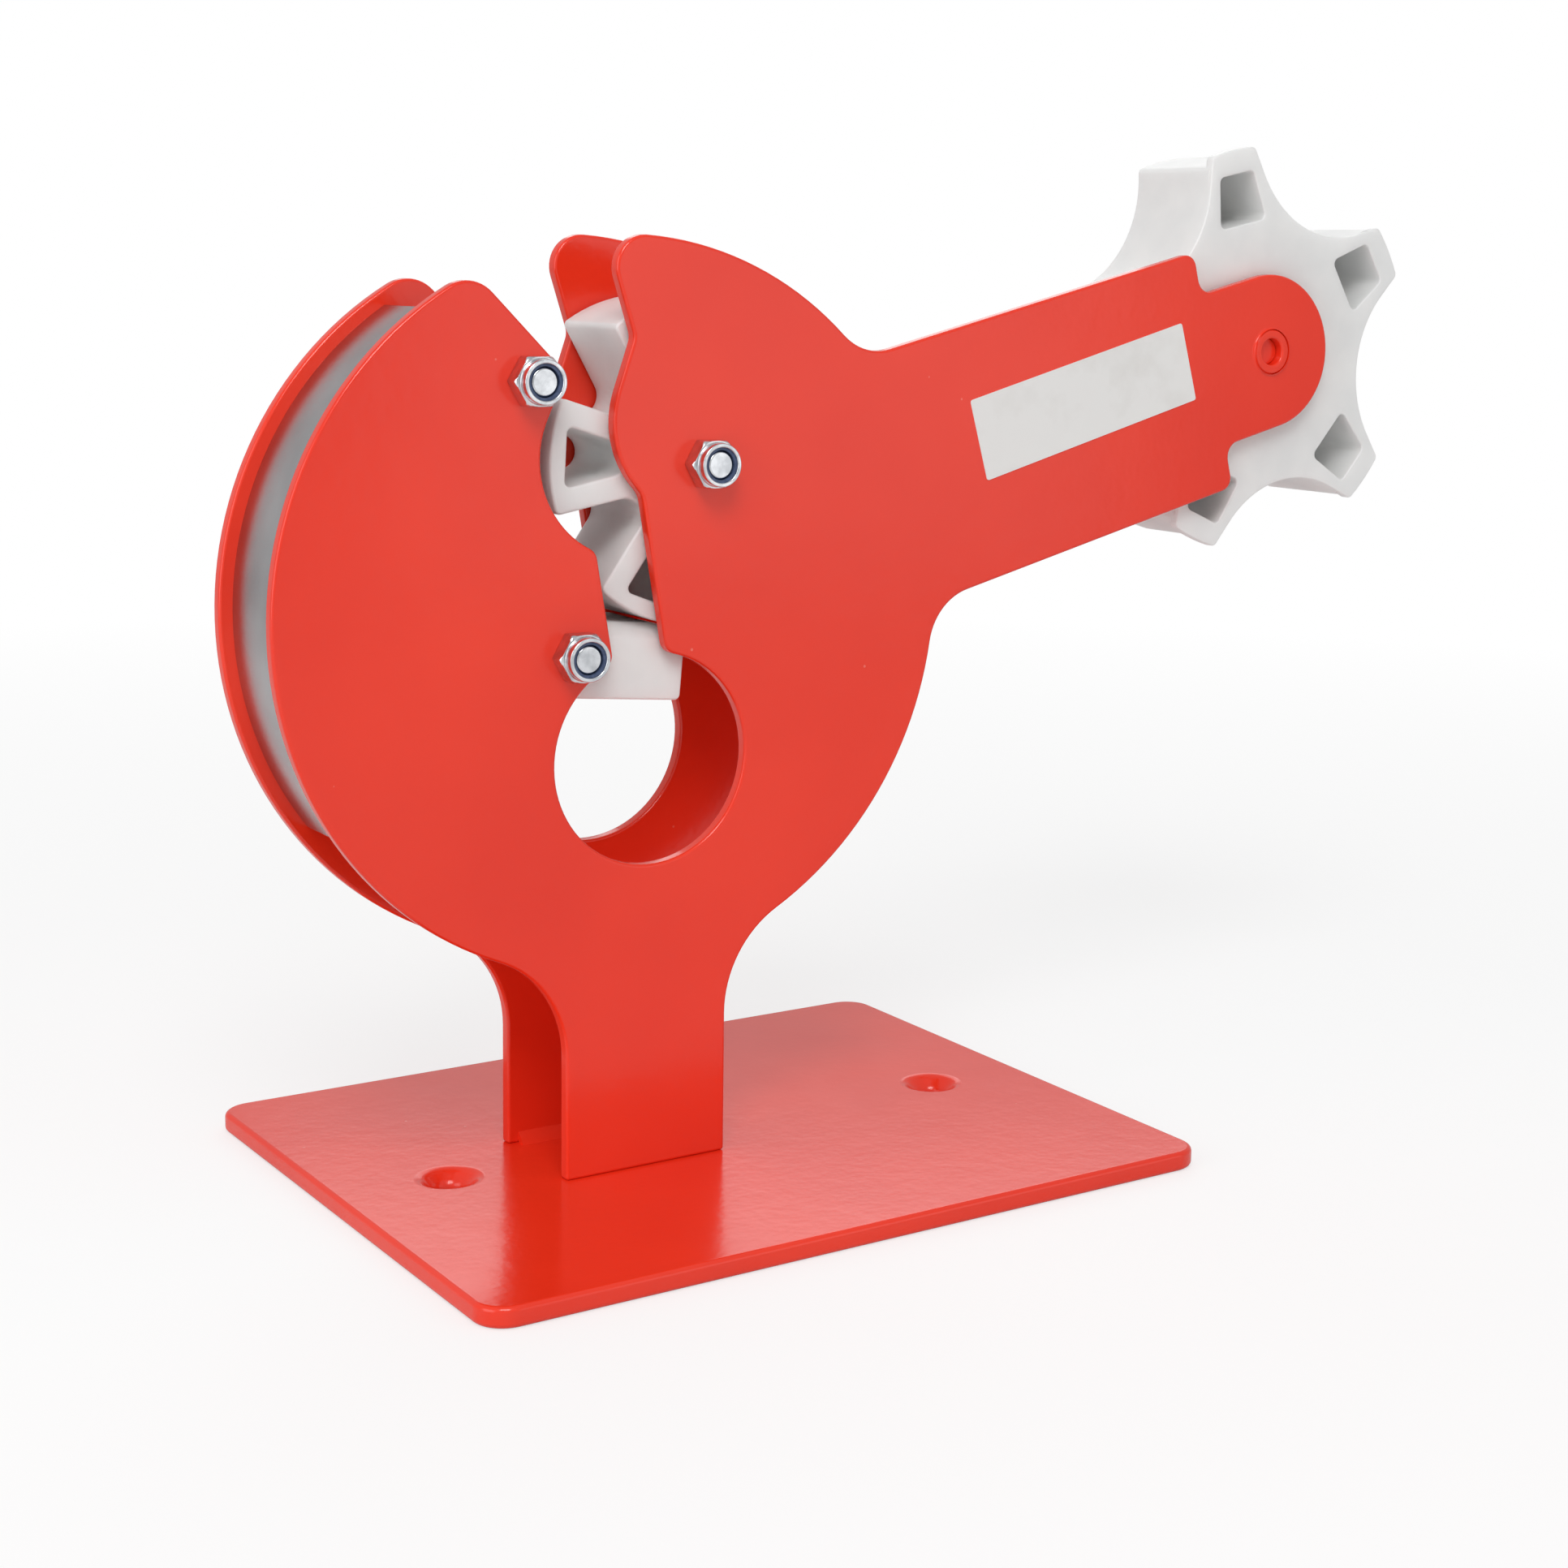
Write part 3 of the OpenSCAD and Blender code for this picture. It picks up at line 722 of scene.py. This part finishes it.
@dataclass
class BlankLabel:
    """Blank label stuck on the arm."""

    middle: tuple = (73.4 * MM, -12.5 * MM, 134.9 * MM)
    length: float = 51.5 * MM
    height: float = 15.2 * MM
    film: float = 0.12 * MM
    tilt: float = math.radians(16.2)
    corner: float = 0.5 * MM

    def build(self) -> None:
        """Cuts the film from a slab, rounds its corners and lays it on the arm."""
        let_go()
        bpy.ops.mesh.primitive_cube_add(size=1.0, location=(0.0, 0.0, 0.0))
        piece = bpy.context.object
        piece.name = piece.data.name = "blank_label"

        def size() -> None:
            """Scales the slab to the film's size."""
            bpy.ops.transform.resize(value=(self.length, self.film, self.height))

        edit(piece, size)
        corners = pick(piece, lambda a, b: abs(a.y - b.y) > self.film / 2)
        take_up(piece)
        bpy.ops.object.mode_set(mode="EDIT")
        bpy.ops.mesh.bevel(offset=self.corner, segments=4)
        bpy.ops.object.mode_set(mode="OBJECT")
        centre = Vector(self.middle) - Vector((0, self.film / 2, 0))
        turn = Matrix.Rotation(-self.tilt, 4, "Y")
        piece.data.transform(Matrix.Translation(centre) @ turn)
        take_up(piece)
        bpy.ops.object.shade_smooth_by_angle(angle=math.radians(30))
        fit(piece, "frame", FILM)
        log.info("label %.1f x %.1f mm, %d corners", self.length / MM, self.height / MM, corners)


# ----------------------------------------------------------------------- studio


def grey(tone: float) -> Colour:
    """A colour with three like parts."""
    return (tone, tone, tone)


@dataclass
class Lamp:
    """One soft box, aimed at the object."""

    name: str
    at: tuple
    power: float
    width: float

    def hang(self, aim: Vector) -> None:
        """Hangs the lamp and turns it to a point."""
        data = bpy.data.lights.new(self.name, "AREA")
        data.shape = "SQUARE"
        data.size = self.width
        data.energy = self.power
        lamp = bpy.data.objects.new(self.name, data)
        lamp.location = self.at
        lamp.rotation_euler = (aim - Vector(self.at)).to_track_quat("-Z", "Y").to_euler()
        bpy.context.scene.collection.objects.link(lamp)
        log.info("%s: %.1f W", self.name, self.power)


@dataclass
class Studio:
    """Pale floor, plain light and the camera at the photograph's angle."""

    aim: tuple = (0.035, 0.0, 0.09)
    camera_at: tuple = (-0.229418, -0.393224, 0.156598)
    azimuth: float = 0.62778
    elevation: float = 0.14152
    roll: float = 0.02306
    focal_px: float = 3193.786
    middle_px: tuple = (1190.0, 800.0)
    frame_px: float = 1932.0
    sensor_mm: float = 36.0
    clip: tuple = (0.01, 20.0)
    room_light: float = 0.52
    gloss_share: float = 0.1
    floor_r: float = 2.5
    floor_z: float = -0.0001
    fade: tuple = (0.22, 0.75)
    floor_tones: tuple = (0.74, 0.76)
    floor_patch: float = 0.2
    seen_tone: float = 0.34
    seen_glow: float = 0.64
    lamps: tuple = (
        Lamp("key_softbox", (-0.42, -0.72, 0.95), 6.0, 0.5),
        Lamp("left_softbox", (-1.00, -0.20, 0.35), 3.0, 0.7),
        Lamp("back_softbox", (0.55, 0.85, 0.75), 2.0, 0.7),
        Lamp("front_softbox", (0.47, -0.78, 0.2), 0.36, 0.4),
    )

    def build(self) -> None:
        """Sets up the world, the floor, the lamps and the camera."""
        self._world()
        self._floor()
        for lamp in self.lamps:
            lamp.hang(Vector(self.aim))
        self._camera()
        bpy.context.scene.view_settings.view_transform = "Standard"

    def _seen(self, bench: NodeBench) -> Wire:
        """1 where seen directly or through something clear, and gloss_share in a reflection."""
        path = bench.make("ShaderNodeLightPath", out="Is Camera Ray")
        outputs = path.socket.node.outputs
        glossy = Wire(bench, outputs["Is Glossy Ray"])
        clear = Wire(bench, outputs["Is Transmission Ray"])
        return path.above(glossy * self.gloss_share).above(clear)

    def _world(self) -> None:
        """White where it is seen, softer where it lights."""
        world = bpy.data.worlds.new("studio")
        bpy.context.scene.world = world
        bench = NodeBench(world)
        kind = "ShaderNodeBackground"
        light = bench.make(kind, {}, {"Color": grey(1.0), "Strength": self.room_light})
        white = bench.make(kind, {}, {"Color": grey(1.0), "Strength": 1.0})
        both = bench.make("ShaderNodeMixShader", {}, {0: self._seen(bench), 1: light, 2: white})
        bench.make("ShaderNodeOutputWorld", {}, {"Surface": both})

    def _floor(self) -> None:
        """A wide pale disc that melts into the white background."""
        let_go()
        bpy.ops.mesh.primitive_circle_add(
            vertices=96, radius=self.floor_r, fill_type="NGON", location=(0, 0, 0)
        )
        floor = bpy.context.object
        floor.name = floor.data.name = "studio_floor"
        floor.data.transform(Matrix.Translation((0.0, 0.0, self.floor_z)))
        made = bpy.data.materials.new("pale_floor")
        bench = NodeBench(made)
        at = bench.place()
        away = bench.make("ShaderNodeVectorMath", {"operation": "LENGTH"}, {0: at}, "Value")
        fade = bench.ramp(away, *self.fade)
        low, high = self.floor_tones
        tone = bench.blend(bench.cloud(at, self.floor_patch, 3.0), grey(low), grey(high))
        matt = bench.make("ShaderNodeBsdfDiffuse", {}, {"Color": tone})
        soft = bench.make("ShaderNodeBsdfDiffuse", {}, {"Color": grey(self.seen_tone)})
        kind = "ShaderNodeEmission"
        glow = bench.make(kind, {}, {"Color": grey(self.seen_glow), "Strength": 1.0})
        white = bench.make(kind, {}, {"Color": grey(1.0), "Strength": 1.0})
        near = bench.make("ShaderNodeAddShader", {}, {0: soft, 1: glow})
        shown = bench.make("ShaderNodeMixShader", {}, {0: fade, 1: near, 2: white})
        whole = bench.make("ShaderNodeMixShader", {}, {0: self._seen(bench), 1: matt, 2: shown})
        bench.make("ShaderNodeOutputMaterial", {}, {"Surface": whole})
        floor.data.materials.append(made)

    def _camera(self) -> None:
        """Stands the camera where the photograph was taken from."""
        az, el, roll = self.azimuth, self.elevation, self.roll
        ahead = Vector((math.sin(az) * math.cos(el), math.cos(az) * math.cos(el), -math.sin(el)))
        side = ahead.cross(Vector((0, 0, 1))).normalized()
        rise = side.cross(ahead)
        right = side * math.cos(roll) + rise * math.sin(roll)
        up = rise * math.cos(roll) - side * math.sin(roll)
        data = bpy.data.cameras.new("photo_camera")
        data.sensor_width = self.sensor_mm
        data.lens = self.focal_px / self.frame_px * self.sensor_mm
        data.shift_x = (self.frame_px / 2 - self.middle_px[0]) / self.frame_px
        data.shift_y = (self.middle_px[1] - self.frame_px / 2) / self.frame_px
        data.clip_start, data.clip_end = self.clip
        camera = bpy.data.objects.new("photo_camera", data)
        turn = Matrix((right, up, -ahead)).transposed().to_4x4()
        camera.matrix_world = Matrix.Translation(self.camera_at) @ turn
        bpy.context.scene.collection.objects.link(camera)
        bpy.context.scene.camera = camera


def main() -> None:
    """Builds the sealer in the order in which it is fitted together."""
    logging.basicConfig(level=logging.INFO, format="%(name)s: %(message)s")
    Studio().build()
    parts = (
        PaintedFrame(),
        CoverStrip(),
        Fasteners(),
        StarWheel(),
        KnifeGate(),
        TapeHub(),
        BlankLabel(),
    )
    for part in parts:
        log.info("building %s", type(part).__name__)
        part.build()


if __name__ == "__main__":
    main()
